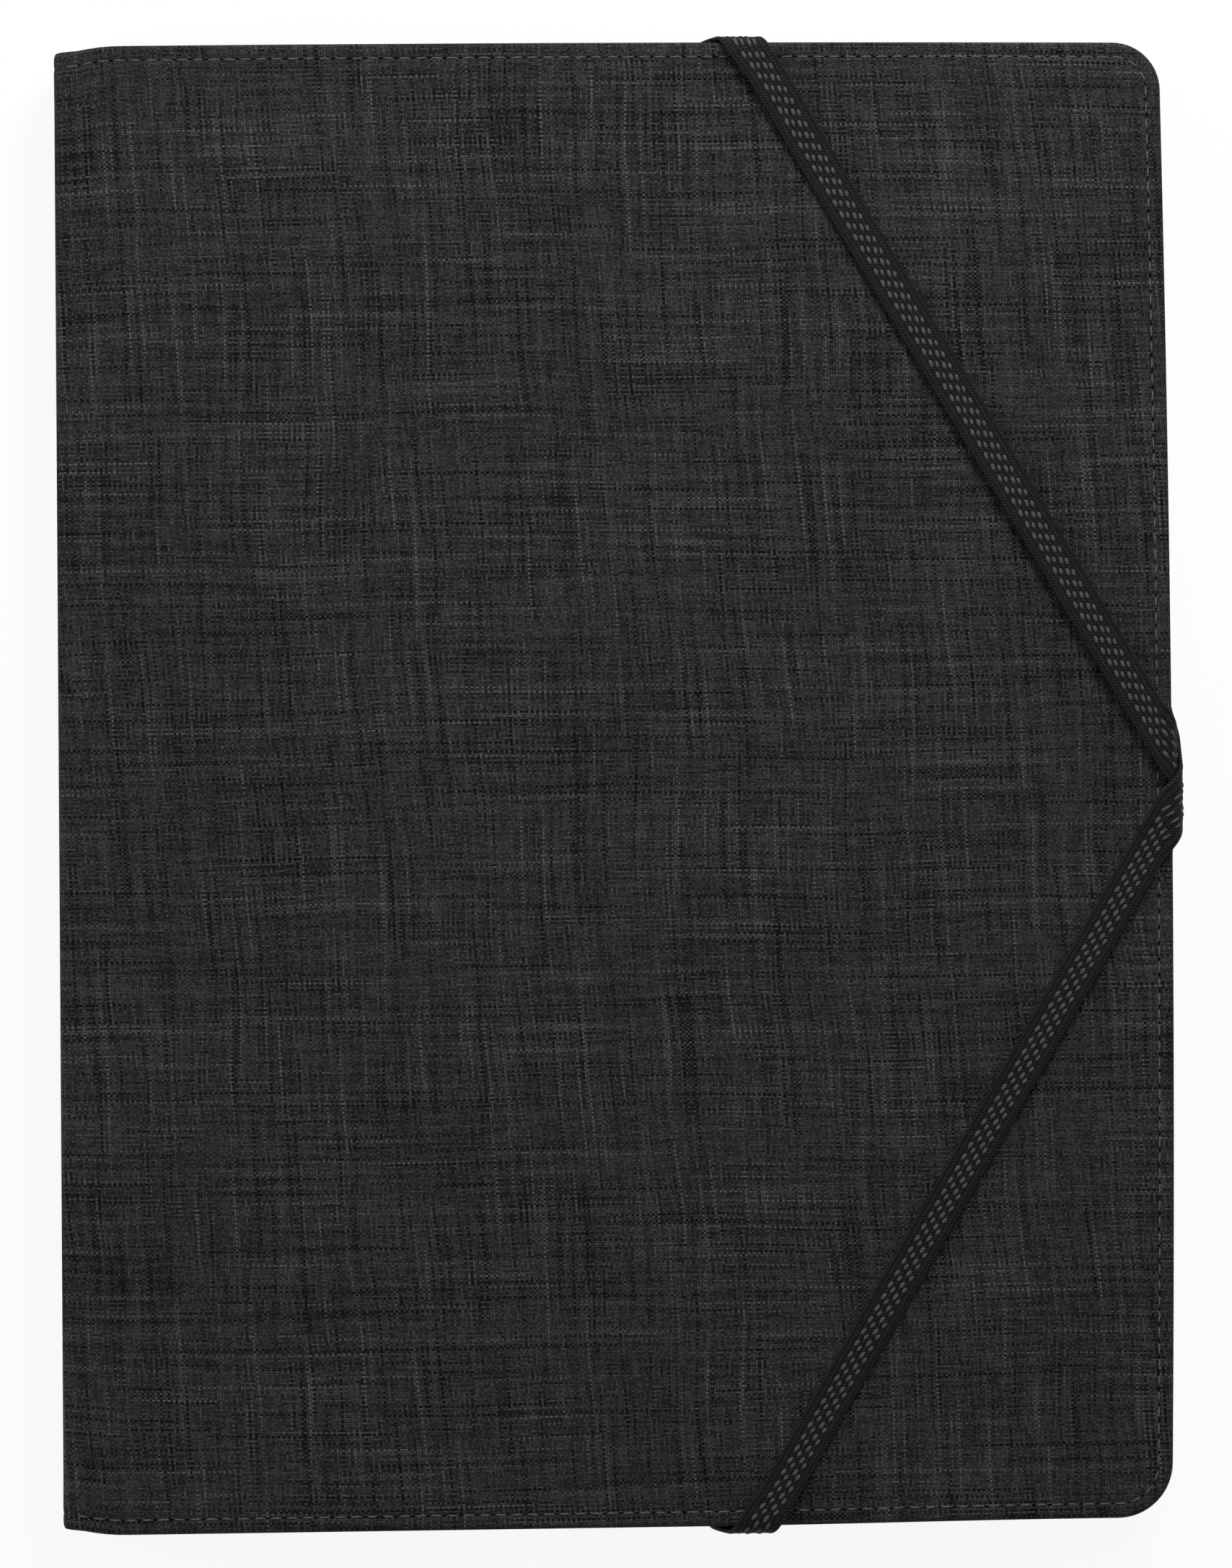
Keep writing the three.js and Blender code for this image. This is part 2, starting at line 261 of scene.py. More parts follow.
# Dashes on the band: each column's place across it and its size
dash_columns = [(-1.55 * mm, 1.0), (-0.5 * mm, 0.84), (0.72 * mm, 1.0), (1.72 * mm, 0.84)]
dash_pitch = 2.9 * mm
dash_rows_skew = math.radians(37)
dash_half_length = 0.86 * mm
dash_radius = 0.47 * mm
dash_slant = 0.1 * mm
dash_flatness = 0.62
dash_sunk = 0.17 * mm
dash_proud = 0.13 * mm
dash_end_gap = 1 * mm
dash_table_gap = 0.02 * mm
dash_trace_step = 0.25 * mm
dash_rings = 7
dash_beside = 0.3 * mm
dash_tip = 0.06

# Pen loop
loop_wall = 0.8 * mm
loop_corner_radius = 3.0 * mm
loop_lip = [(0.0, 0.25 * mm), (0.12 * mm, 0.08 * mm), (0.36 * mm, 0.0)]
loop_rows = 8


def smooth(t):
    t = min(max(t, 0.0), 1.0)
    return t * t * (3 - 2 * t)


def lerp(a, b, t):
    return a + (b - a) * t


def arc(cx, cy, radius, first_angle, steps):
    """Points of a quarter circle, anticlockwise, both ends included."""
    points = []
    for i in range(steps + 1):
        angle = first_angle + quarter_turn * i / steps
        points.append((cx + radius * math.cos(angle), cy + radius * math.sin(angle)))
    return points


# Mesh building

def link_object(name, data):
    obj = bpy.data.objects.new(name, data)
    bpy.context.scene.collection.objects.link(obj)
    return obj


def new_object(name, points, faces, material, uvs=None):
    mesh = bpy.data.meshes.new(name)
    mesh.from_pydata([tuple(p) for p in points], [], faces)
    if uvs is not None:
        layer = mesh.uv_layers.new(name="cloth")
        for loop in mesh.loops:
            layer.data[loop.index].uv = uvs[loop.vertex_index]
    mesh.materials.append(material)
    mesh.polygons.foreach_set("use_smooth", [True] * len(mesh.polygons))
    mesh.update()
    return link_object(name, mesh)


def thicken(obj, thickness):
    """Gives a sheet its thickness, inwards from its face."""
    modifier = obj.modifiers.new("thickness", "SOLIDIFY")
    modifier.thickness = thickness
    modifier.offset = -1
    modifier.use_rim = True
    graph = bpy.context.evaluated_depsgraph_get()
    solid = bpy.data.meshes.new_from_object(obj.evaluated_get(graph))
    obj.modifiers.clear()
    sheet = obj.data
    obj.data = solid
    bpy.data.meshes.remove(sheet)


def turned(faces):
    return [tuple(reversed(face)) for face in faces]


def ring_faces(rings, count):
    """Quads between closed rings of count points each, one after another."""
    faces = []
    for r in range(rings - 1):
        for i in range(count):
            a = r * count + i
            b = r * count + (i + 1) % count
            faces.append((a, b, b + count, a + count))
    return faces


def end_faces(rings, count):
    """The two faces that close a stack of rings."""
    last = (rings - 1) * count
    return [tuple(reversed(range(count))), tuple(last + i for i in range(count))]


class Builder:
    """Collects the points and faces of many small pieces in one mesh."""

    def __init__(self):
        self.points = []
        self.faces = []
        self.marks = []

    def tube(self, centres, frames, radii, sides, mark=0):
        first = len(self.points)
        for centre, (across, up), radius in zip(centres, frames, radii):
            for k in range(sides):
                angle = 2 * math.pi * k / sides
                self.points.append(centre + radius * (math.cos(angle) * across + math.sin(angle) * up))
        faces = ring_faces(len(centres), sides) + end_faces(len(centres), sides)
        self.faces += [tuple(first + k for k in face) for face in faces]
        self.marks += [mark] * len(faces)

    def build(self, name, materials):
        obj = new_object(name, self.points, self.faces, materials[0])
        for material in materials[1:]:
            obj.data.materials.append(material)
        obj.data.polygons.foreach_set("material_index", self.marks)
        return obj


# Materials

class Graph:
    """The shader nodes of one new material, under short names."""

    def __init__(self, name):
        self.material = bpy.data.materials.new(name)
        self.material.use_nodes = True
        self.nodes = self.material.node_tree.nodes
        self.links = self.material.node_tree.links
        self.nodes.clear()
        self.output = self.nodes.new("ShaderNodeOutputMaterial")
        self.shader = self.nodes.new("ShaderNodeBsdfPrincipled")
        self.links.new(self.shader.outputs["BSDF"], self.output.inputs["Surface"])

    def put(self, value, socket):
        if isinstance(value, bpy.types.NodeSocket):
            self.links.new(value, socket)
        else:
            socket.default_value = value

    def math(self, operation, a, b=0.0):
        node = self.nodes.new("ShaderNodeMath")
        node.operation = operation
        for value, socket in zip((a, b), node.inputs):
            self.put(value, socket)
        return node.outputs[0]

    def add(self, a, b):
        return self.math("ADD", a, b)

    def subtract(self, a, b):
        return self.math("SUBTRACT", a, b)

    def multiply(self, a, b):
        return self.math("MULTIPLY", a, b)

    def arch(self, value, roundness):
        """One in the middle, less by the square of the distance from it."""
        return self.subtract(1.0, self.multiply(self.multiply(value, value), roundness))

    def from_middle(self, value):
        """How far a repeating value is from the middle of its step."""
        return self.subtract(self.math("FRACT", value), 0.5)

    def combine(self, x, y, z=0.0):
        node = self.nodes.new("ShaderNodeCombineXYZ")
        for value, socket in zip((x, y, z), node.inputs):
            self.put(value, socket)
        return node.outputs[0]

    def noise(self, vector, scale=1.0, detail=2.0, roughness=0.5):
        node = self.nodes.new("ShaderNodeTexNoise")
        self.put(vector, node.inputs["Vector"])
        node.inputs["Scale"].default_value = scale
        node.inputs["Detail"].default_value = detail
        node.inputs["Roughness"].default_value = roughness
        return node.outputs[0]

    def spread(self, value, low, high, out_low=0.0, out_high=1.0):
        node = self.nodes.new("ShaderNodeMapRange")
        self.put(value, node.inputs["Value"])
        bounds = {"From Min": low, "From Max": high, "To Min": out_low, "To Max": out_high}
        for name, bound in bounds.items():
            node.inputs[name].default_value = bound
        return node.outputs[0]

    def mix(self, factor, a, b):
        node = self.nodes.new("ShaderNodeMix")
        node.data_type = "FLOAT"
        self.put(factor, node.inputs[0])
        self.put(a, node.inputs[2])
        self.put(b, node.inputs[3])
        return node.outputs[0]

    def ramp(self, value, stops):
        node = self.nodes.new("ShaderNodeValToRGB")
        self.put(value, node.inputs[0])
        elements = node.color_ramp.elements
        while len(elements) < len(stops):
            elements.new(0.5)
        for element, (position, colour) in zip(elements, stops):
            element.position = position
            element.color = (*colour, 1)
        return node.outputs[0]

    def bump(self, height, strength, distance):
        node = self.nodes.new("ShaderNodeBump")
        node.inputs["Strength"].default_value = strength
        node.inputs["Distance"].default_value = distance
        self.put(height, node.inputs["Height"])
        self.links.new(node.outputs[0], self.shader.inputs["Normal"])

    def finish(self, colour, roughness, shine=0.5):
        self.put(colour, self.shader.inputs["Base Color"])
        self.shader.inputs["Roughness"].default_value = roughness
        self.shader.inputs["Specular IOR Level"].default_value = shine
        return self.material

    def cloth_uv(self):
        node = self.nodes.new("ShaderNodeUVMap")
        node.uv_map = "cloth"
        split = self.nodes.new("ShaderNodeSeparateXYZ")
        self.links.new(node.outputs[0], split.inputs[0])
        return split.outputs[0], split.outputs[1]

    def place(self):
        node = self.nodes.new("ShaderNodeTexCoord")
        split = self.nodes.new("ShaderNodeSeparateXYZ")
        self.links.new(node.outputs["Object"], split.inputs[0])
        return split.outputs


def thread_tone(g, across, along, seed):
    """Lightness of each thread: a base that lasts for centimetres, with slubs of a few millimetres."""
    number = g.multiply(across, thread_apart)
    lasting = g.noise(g.combine(g.multiply(along, lasting_rate), number, seed), 1.0, 1.0)
    slub = g.noise(g.combine(g.multiply(along, slub_rate), number, seed + 20.0), 1.0, 2.0, 0.6)
    light_line = g.spread(lasting, 0.61, 0.75, 0.0, 0.34)
    dark_line = g.spread(lasting, 0.42, 0.28, 0.0, 0.3)
    tone = g.add(g.spread(lasting, 0.28, 0.72, 0.0, 0.46), g.spread(slub, 0.3, 0.7, 0.0, 0.5))
    return g.subtract(g.add(tone, light_line), dark_line)


def wander(g, vector, scale, reach):
    """Slow drift of the threads off their straight lines."""
    return g.multiply(g.subtract(g.noise(vector, scale, 2.0), 0.5), reach)


def outer_cloth():
    """Heathered plain weave: every thread has its own run of dark and light slubs, with painted shade in
    the hollows between the threads.
    """
    g = Graph("outer_cloth")
    raw_u, raw_v = g.cloth_uv()
    drift_u = wander(g, g.combine(raw_u, raw_v), 14.0, 0.008)
    drift_v = wander(g, g.combine(raw_u, raw_v, 7.3), 12.0, 0.0035)
    lean = g.multiply(raw_v, warp_lean)
    u = g.multiply(g.add(g.add(raw_u, drift_u), lean), 1 / weave_pitch)
    v = g.multiply(g.add(raw_v, drift_v), 1 / weft_pitch)
    column = g.math("FLOOR", u)
    row = g.math("FLOOR", v)
    parity = g.math("MODULO", g.math("ABSOLUTE", g.add(column, row)), 2.0)
    fleck = g.noise(g.combine(g.multiply(u, fleck_rate), g.multiply(v, fleck_rate), 3.0), 1.0, 1.0)
    tone = g.mix(parity, thread_tone(g, column, v, 9.0), thread_tone(g, row, u, 0.0))
    tone = g.add(g.multiply(tone, 0.8), g.spread(fleck, 0.3, 0.7, -0.03, 0.29))
    warp = g.arch(g.from_middle(u), thread_roundness)
    weft = g.arch(g.from_middle(v), thread_roundness)
    height = g.multiply(warp, weft)
    # Painted shade: the thread colour drops to half in the hollows between crossing threads, following the
    # weave height that also drives the bump.
    shade = g.multiply(tone, g.spread(height, 0.0, 0.8, 0.5, 1.0))
    colour = g.ramp(shade, [
        (0.0, (0.0012, 0.0012, 0.0013)),
        (0.22, (0.0065, 0.0065, 0.0067)),
        (0.42, (0.023, 0.023, 0.0235)),
        (0.66, (0.052, 0.052, 0.0525)),
        (1.0, (0.1, 0.1, 0.101)),
    ])
    g.bump(height, 0.75, 0.22 * mm)
    return g.finish(colour, 0.9, 0.1)


def lining_cloth(name, colour, pitch):
    """Smooth close twill for the linings and pockets, with painted highlight and shade along its diagonal
    ribs.
    """
    g = Graph(name)
    x, y, z = g.place()
    u = g.multiply(g.add(x, z), 1 / pitch)
    v = g.multiply(y, 1 / pitch)
    diagonal = g.math("FRACT", g.add(u, v))
    rib = g.math("SINE", g.multiply(diagonal, math.pi))
    yarn = g.noise(g.combine(g.multiply(u, 0.06), g.math("FLOOR", v), 0.0), 1.0, 2.0)
    soft = g.noise(g.combine(g.multiply(u, 0.02), g.multiply(v, 0.02), 4.0), 1.0, 2.0)
    # Painted highlight and shade: the colour is lighter on the twill's ribs and darker between them, from
    # the rib that also drives the bump; yarn and soft are random tone.
    tone = g.add(g.multiply(rib, 0.45), g.multiply(g.add(yarn, soft), 0.28))
    light = tuple(c * 1.7 for c in colour)
    dark = tuple(c * 0.5 for c in colour)
    g.bump(g.add(rib, g.multiply(soft, 1.5)), 0.4, 0.12 * mm)
    return g.finish(g.ramp(tone, [(0.1, dark), (0.5, colour), (0.95, light)]), 0.7, 0.22)


def elastic_cloth():
    """Black knitted elastic: fine rows of small v shapes, painted lighter on their raised ribs and darker
    in the hollows between them.
    """
    g = Graph("elastic")
    raw_u, raw_v = g.cloth_uv()
    u = g.multiply(raw_u, 1 / (1.1 * mm))
    v = g.multiply(raw_v, 1 / (0.72 * mm))
    fold = g.math("ABSOLUTE", g.from_middle(u))
    chevron = g.math("FRACT", g.add(v, g.multiply(fold, 1.6)))
    rib = g.math("SINE", g.multiply(chevron, math.pi))
    height = g.multiply(rib, g.arch(fold, 2.6))
    fleck = g.noise(g.combine(u, v, 0.0), 0.7, 2.0)
    # Painted highlight and shade: the colour follows the rib height that also drives the bump; the fleck is
    # random tone.
    tone = g.add(g.multiply(height, 0.7), g.multiply(fleck, 0.4))
    colour = g.ramp(tone, [
        (0.15, (0.0008, 0.0008, 0.0009)),
        (0.5, (0.0028, 0.0028, 0.003)),
        (0.95, (0.02, 0.02, 0.0205)),
    ])
    g.bump(height, 0.8, 0.16 * mm)
    return g.finish(colour, 0.75, 0.14)


def twisted_yarn(name, dark, light, roughness=0.7, shine=0.2):
    """Yarn with small slanted bands along it: the twist is bumped, and painted as bands of highlight and
    shade on its plies.
    """
    g = Graph(name)
    x, y, z = g.place()
    slant = g.add(g.add(x, y), g.multiply(z, 1.7))
    twist = g.math("SINE", g.multiply(slant, 2 * math.pi / (0.45 * mm)))
    speckle = g.noise(g.combine(x, y, z), 1800.0, 2.0)
    # Painted highlight and shade: the twist that also drives the bump sets the light and dark bands; the
    # speckle is random tone.
    tone = g.add(g.spread(twist, -1, 1, 0.0, 0.5), g.multiply(speckle, 0.6))
    g.bump(twist, 0.5, 0.05 * mm)
    return g.finish(g.ramp(tone, [(0.2, dark), (0.85, light)]), roughness, shine)


def paper_sheets():
    """White sheets, with the fine lines of a stack on the cut edges."""
    g = Graph("paper")
    x, y, z = g.place()
    layers = g.combine(g.multiply(x, 4.0), g.multiply(y, 4.0), g.multiply(z, 9000.0))
    sheet = g.noise(layers, 1.0, 2.0)
    grain = g.noise(g.combine(x, y, z), 900.0, 3.0)
    tone = g.add(g.multiply(sheet, 0.7), g.multiply(grain, 0.3))
    colour = g.ramp(tone, [
        (0.2, (0.62, 0.61, 0.58)),
        (0.5, (0.8, 0.79, 0.76)),
        (0.8, (0.86, 0.855, 0.83)),
    ])
    g.bump(tone, 0.25, 0.08 * mm)
    return g.finish(colour, 0.8)


def pressed_board(name, dark, light):
    """Pressed grey board with small fibres."""
    g = Graph(name)
    x, y, z = g.place()
    fibre = g.noise(g.combine(x, y, g.multiply(z, 6.0)), 700.0, 4.0, 0.65)
    g.bump(fibre, 0.3, 0.1 * mm)
    return g.finish(g.ramp(fibre, [(0.3, dark), (0.7, light)]), 0.88)


outer = outer_cloth()
lining = lining_cloth("lining_cloth", (0.012, 0.012, 0.013), 0.55 * mm)
tape = lining_cloth("tape_cloth", (0.011, 0.011, 0.012), 0.4 * mm)
elastic = elastic_cloth()
seam_thread = twisted_yarn("seam_thread", (0.03, 0.03, 0.03), (0.13, 0.13, 0.13))
dash_thread = twisted_yarn("dash_thread", (0.026, 0.026, 0.0265), (0.085, 0.085, 0.086))
# Near-black finish for the needle hole plugs: painted shade in the holes.
needle_hole_painted_shade = twisted_yarn("needle_hole_painted_shade", (0.001, 0.001, 0.001), (0.003, 0.003, 0.003), 0.9, 0.0)
lining_thread = twisted_yarn("lining_thread", (0.01, 0.01, 0.01), (0.05, 0.05, 0.05))
paper = paper_sheets()
grey_board = pressed_board("grey_board", (0.17, 0.16, 0.145), (0.33, 0.31, 0.285))
backing_card = pressed_board("backing_card", (0.22, 0.17, 0.11), (0.4, 0.32, 0.22))


# Outer cloth, laid out flat: u runs from the middle of the spine round to the fore edge, v up it

arc_length = spine_radius * quarter_turn
flat_start = spine_x + spine_radius
wall_start = flat_start - arc_length
wall_height = top_z - spine_radius - middle_z
cloth_start = wall_start - wall_height


def on_skin(u, v, depth):
    """A point of the flat cloth, put on the front cover or round the spine, depth under its face."""
    if u >= flat_start:
        return Vector((u, v, top_z - depth))
    if u >= wall_start:
        angle = (flat_start - u) / spine_radius
        radius = spine_radius - depth
        return Vector((
            flat_start - radius * math.sin(angle),
            v,
            top_z - spine_radius + radius * math.cos(angle),
        ))
    return Vector((spine_x + depth, v, top_z - spine_radius - (wall_start - u)))


def flip_to_back(point):
    return Vector((point[0], point[1], top_z + bottom_z - point[2]))


def outline_warp(u, v):
    """Moves a place on the flat cloth by the small bows of a soft cover's edges."""
    near_fore = smooth((u - spine_x - fore_bow_start) / fore_bow_ramp)
    shift_u = near_fore * (fore_bow * (1 - (v / end_y) ** 2) - fore_draw_in)
    if u > flat_start:
        near_spine = 1 - smooth((u - spine_x) / spine_bow_ramp)
        shift_u += near_spine * spine_bow * smooth((v - spine_bow_start_y) / spine_bow_ramp)
    if v > 0:
        end_bow = head_bow * (1 - ((u - head_bow_middle_x) / head_bow_reach) ** 2)
    else:
        end_bow = -foot_bow * (1 - smooth((u - foot_bow_start_x) / foot_bow_ramp))
    near_end = smooth(1 - (end_y - abs(v)) / end_bow_ramp)
    near_corner = smooth(1 - (u - spine_x) / spine_corner_ramp)
    drop = near_corner * near_corner * spine_corner_drop
    return u + shift_u, v + near_end * (end_bow - math.copysign(drop, v))


def edge_path():
    """Points on the outline with their outward directions, from the spine's foot to its head."""
    fore_at_foot = fore_x - foot_corner_radius
    fore_at_head = fore_x - top_corner_radius
    foot = foot_corner_radius - end_y
    head = end_y - top_corner_radius
    points = []

    def end_line(start, stop, v, step):
        count = max(1, round(abs(stop - start) / step))
        for i in range(count):
            points.append((lerp(start, stop, i / count), v, 0.0, math.copysign(1, v)))

    def corner(cx, cy, radius, first_angle):
        for i in range(corner_steps):
            angle = first_angle + quarter_turn * i / corner_steps
            out_u, out_v = math.cos(angle), math.sin(angle)
            points.append((cx + radius * out_u, cy + radius * out_v, out_u, out_v))

    end_line(cloth_start, wall_start, -end_y, wall_step)
    end_line(wall_start, flat_start, -end_y, bend_step)
    end_line(flat_start, fore_at_foot, -end_y, flat_step)
    corner(fore_at_foot, foot, foot_corner_radius, -quarter_turn)
    count = round((head - foot) / flat_step)
    for i in range(count):
        points.append((fore_x, lerp(foot, head, i / count), 1.0, 0.0))
    corner(fore_at_head, head, top_corner_radius, 0)
    end_line(fore_at_head, flat_start, end_y, flat_step)
    end_line(flat_start, wall_start, end_y, bend_step)
    end_line(wall_start, cloth_start, end_y, wall_step)
    points.append((cloth_start, end_y, 0.0, 1))
    return points


def edge_profile():
    """Steps from the flat cloth over the edge to the hem: outward offset and depth."""
    steps = [(-stitch_inset - away, depth) for away, depth in swell_inside]
    steps.append((-stitch_inset, groove_depth))
    steps += [(-stitch_inset + away, depth) for away, depth in swell_outside]
    half = cloth_depth / 2
    for i in range(edge_steps + 1):
        angle = math.pi * i / edge_steps - quarter_turn
        steps.append((cloth_edge_radius * (math.cos(angle) - 1), half + half * math.sin(angle)))
    steps += [(-width, cloth_depth) for width in hem_rows]
    return steps


def depth_scale(u):
    """The edge gets thinner from the boards towards the spine."""
    near_boards = smooth((u - spine_x - spine_depth_start) / spine_depth_ramp)
    return lerp(spine_depth / cloth_depth, 1.0, near_boards)


def ripple(u, v):
    """Slow unevenness of cloth over board: two waves, in radians a metre."""
    broad = math.sin(u * 61 + 1.3) * math.sin(v * 47 + 0.4)
    slanted = math.sin(u * 133 - v * 29) / 2
    return ripple_height * (broad + slanted)


class CoverSheet:
    """The cloth of one cover: points, their places on the flat cloth, and faces."""

    def __init__(self, on_back):
        self.on_back = on_back
        self.points = []
        self.places = []
        self.faces = []

    def put(self, u, v, depth, place):
        inside = smooth(min(fore_x - u, end_y - abs(v), u - spine_x) / ripple_ramp)
        warped_u, warped_v = outline_warp(u, v)
        point = on_skin(warped_u, warped_v, depth - inside * ripple(u, v))
        if self.on_back:
            point = flip_to_back(point)
            place = (2 * cloth_start - place[0], place[1])
        self.points.append(point)
        self.places.append(place)

    def add_edge(self, path, profile):
        """The strip along the outline, from the flat cloth over the edge to the hem."""
        travelled = 0.0
        previous = profile[0]
        for offset, depth in profile:
            travelled += math.hypot(offset - previous[0], depth - previous[1])
            previous = (offset, depth)
            along = profile[0][0] + travelled
            for u, v, out_u, out_v in path:
                place = (u + out_u * along, v + out_v * along)
                self.put(u + out_u * offset, v + out_v * offset, depth * depth_scale(u), place)
        count = len(path)
        for j in range(len(profile) - 1):
            for i in range(count - 1):
                a = j * count + i
                self.faces.append((a, a + count, a + count + 1, a + 1))

    def add_middle(self, path, margin):
        """The flat cloth inside the strip, joined to the strip's first row, margin from the edge."""
        count = len(path)
        border = [(u - out_u * margin, v - out_v * margin) for u, v, out_u, out_v in path]
        vs = grid_heights(margin)
        border += [(cloth_start, v) for v in reversed(vs)]
        edges = [(k, (k + 1) % len(border)) for k in range(len(border))]
        flat = [Vector(place) for place in border + grid_places(margin, vs)]
        places, _, triangles, sources, _, _ = delaunay_2d_cdt(flat, edges, [], 1, merge_distance)
        index = []
        for place, found in zip(places, sources):
            shared = [source for source in found if source < count]
            if shared:
                index.append(shared[0])
            else:
                index.append(len(self.points))
                self.put(place[0], place[1], 0.0, (place[0], place[1]))
        self.faces += [tuple(index[k] for k in triangle) for triangle in triangles]


def grid_heights(margin):
    reach = end_y - margin - grid_gap_at_ends
    return list(np.linspace(-reach, reach, grid_rows))


def grid_places(margin, vs):
    """Evenly spread places inside the strip, closer together round the spine's bend."""
    us = list(np.arange(flat_start, fore_x - margin - grid_gap, grid_step))
    us += [flat_start - arc_length * k / bend_columns for k in range(1, bend_columns)]
    us += list(np.arange(cloth_start + wall_step, wall_start + wall_slack, wall_step))
    places = []
    for u in us:
        for v in vs:
            past_fore = max(u - (fore_x - grid_corner), 0)
            past_end = max(abs(v) - (end_y - grid_corner), 0)
            if math.hypot(past_fore, past_end) < grid_corner_radius:
                places.append((u, v))
    return places


def cover_cloth(name, on_back):
    path = edge_path()
    profile = edge_profile()
    sheet = CoverSheet(on_back)
    sheet.add_edge(path, profile)
    sheet.add_middle(path, -profile[0][0])
    faces = turned(sheet.faces) if on_back else sheet.faces
    obj = new_object(name, sheet.points, faces, outer, sheet.places)
    thicken(obj, cloth_thickness)
    return obj


front_cloth = cover_cloth("front_cloth", False)
back_cloth = cover_cloth("back_cloth", True)


# Stitching

def seam_track(inset):
    """The line of a seam along the foot, fore and head edges, in flat cloth coordinates."""
    start = flat_start + seam_clearance
    foot_corner = arc(fore_x - foot_corner_radius, foot_corner_radius - end_y,
                      foot_corner_radius - inset, -quarter_turn, seam_corner_steps)
    head_corner = arc(fore_x - top_corner_radius, end_y - top_corner_radius,
                      top_corner_radius - inset, 0, seam_corner_steps)
    return [(start, inset - end_y)] + foot_corner + head_corner + [(start, end_y - inset)]


def seam_places(inset, pitch):
    """Centres of the stitches on a seam and their directions."""
    track = seam_track(inset)
    places = []
    wait = pitch / 2
    for (ax, ay), (bx, by) in zip(track, track[1:]):
        length = math.hypot(bx - ax, by - ay)
        at = wait
        while at < length:
            t = at / length
            places.append((lerp(ax, bx, t), lerp(ay, by, t), (bx - ax) / length, (by - ay) / length))
            at += pitch
        wait = at - length
    return places


def add_stitch(builder, place_at, frame, rings, sides, arch, dive, radius, taper):
    """A bent length of yarn: place_at gives its points, from -1 to 1 along it and by their height."""
    centres = []
    radii = []
    for k in range(rings):
        t = 2 * k / (rings - 1) - 1
        centres.append(place_at(t, (1 - t * t) * arch - dive))
        radii.append(radius * (1 - taper * t * t))
    builder.tube(centres, [frame] * rings, radii, sides)


def seam(name, on_point, holes, material, body, inset=stitch_inset):
    """A row of stitches; where holes is true, near-black plugs of painted shade stand in the needle holes
    that they dive into.
    """
    builder = Builder()
    for number, (u, v, du, dv) in enumerate(seam_places(inset, stitch_pitch)):
        half_length = stitch_length / 2 * (1 + stitch_unevenness * math.sin(number * 2.7))
        lean = stitch_lean * math.sin(number * 1.9)
        du, dv = du - lean * dv, dv + lean * du
        up = (on_point(u, v, 1 * mm) - on_point(u, v, 0)).normalized()
        across = Vector((-dv, du, 0)).normalized()

        def place_at(t, rise):
            return on_point(u + du * t * half_length, v + dv * t * half_length, rise)

        add_stitch(builder, place_at, (across, up), **cover_yarn)
        # Painted shade: a near-black plug fills the needle hole, rising just above the cloth.
        if holes:
            hole_u = u + du * stitch_pitch / 2
            hole_v = v + dv * stitch_pitch / 2
            low = on_point(hole_u, hole_v, -hole_depth)
            high = on_point(hole_u, hole_v, hole_rise)
            along = Vector((du, dv, 0)).normalized()
            radii = [hole_radius_below, hole_radius_above]
            builder.tube([low, high], [(across, along)] * 2, radii, 8, 1)
    obj = builder.build(name, [material, needle_hole_painted_shade])
    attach(obj, body)


def front_outer_point(u, v, lift):
    warped_u, warped_v = outline_warp(u, v)
    return on_skin(warped_u, warped_v, groove_depth - lift)


def back_outer_point(u, v, lift):
    return flip_to_back(front_outer_point(u, v, lift))


seam("front_stitching", front_outer_point, True, seam_thread, "front")
seam("back_stitching", back_outer_point, True, seam_thread, "back")

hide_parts("front_cover_fabric", "spine_fabric")
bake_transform(front_cloth)
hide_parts("back_cover_fabric")
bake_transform(back_cloth)


# Boards, linings, sleeve and pockets: thin panels with a rolled edge

def rounded_rectangle(left, right, low, high, left_radius, right_radius, inset):
    """An outline with one radius at its left corners and one at its right ones, moved in by inset."""
    left, right, low, high = left + inset, right - inset, low + inset, high - inset
    spine_r = max(left_radius - inset, least_radius)
    fore_r = max(right_radius - inset, least_radius)
    corners = [
        (right - fore_r, high - fore_r, fore_r), (left + spine_r, high - spine_r, spine_r),
        (left + spine_r, low + spine_r, spine_r), (right - fore_r, low + fore_r, fore_r),
    ]
    points = []
    for quarter, (cx, cy, radius) in enumerate(corners):
        points += arc(cx, cy, radius, quarter_turn * quarter, panel_corner_steps)
    return points


def soft_panel(node, material, spine_r, fore_r, face_up, groove=None, trim=0.0):
    """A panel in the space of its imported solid, facing up or down, with a rolled edge."""
    low, high = [list(corner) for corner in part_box(node)]
    for axis in (0, 1):
        low[axis] += trim
        high[axis] -= trim
    thickness = high[2] - low[2]
    roll = thickness * panel_roll_share
    steps = [(0.0, 0.0), (0.0, thickness - roll)]
    for i in range(1, panel_roll_steps + 1):
        angle = quarter_turn * i / panel_roll_steps
        steps.append((roll * (1 - math.cos(angle)), thickness - roll + roll * math.sin(angle)))
    if groove:
        steps += [
            (groove - panel_groove_half_width, thickness),
            (groove, thickness - panel_groove_depth),
            (groove + panel_groove_half_width, thickness),
        ]
    is_large = high[1] - low[1] > small_panel_height
    steps.append((panel_inner_inset if is_large else small_panel_inner_inset, thickness))
    points = []
    for inset, height in steps:
        z = low[2] + height if face_up else high[2] - height
        ring = rounded_rectangle(low[0], high[0], low[1], high[1], spine_r, fore_r, inset)
        points += [(x, y, z) for x, y in ring]
    faces = ring_faces(len(steps), len(ring)) + end_faces(len(steps), len(ring))
    return new_object(node + "_cloth", points, faces if face_up else turned(faces), material)


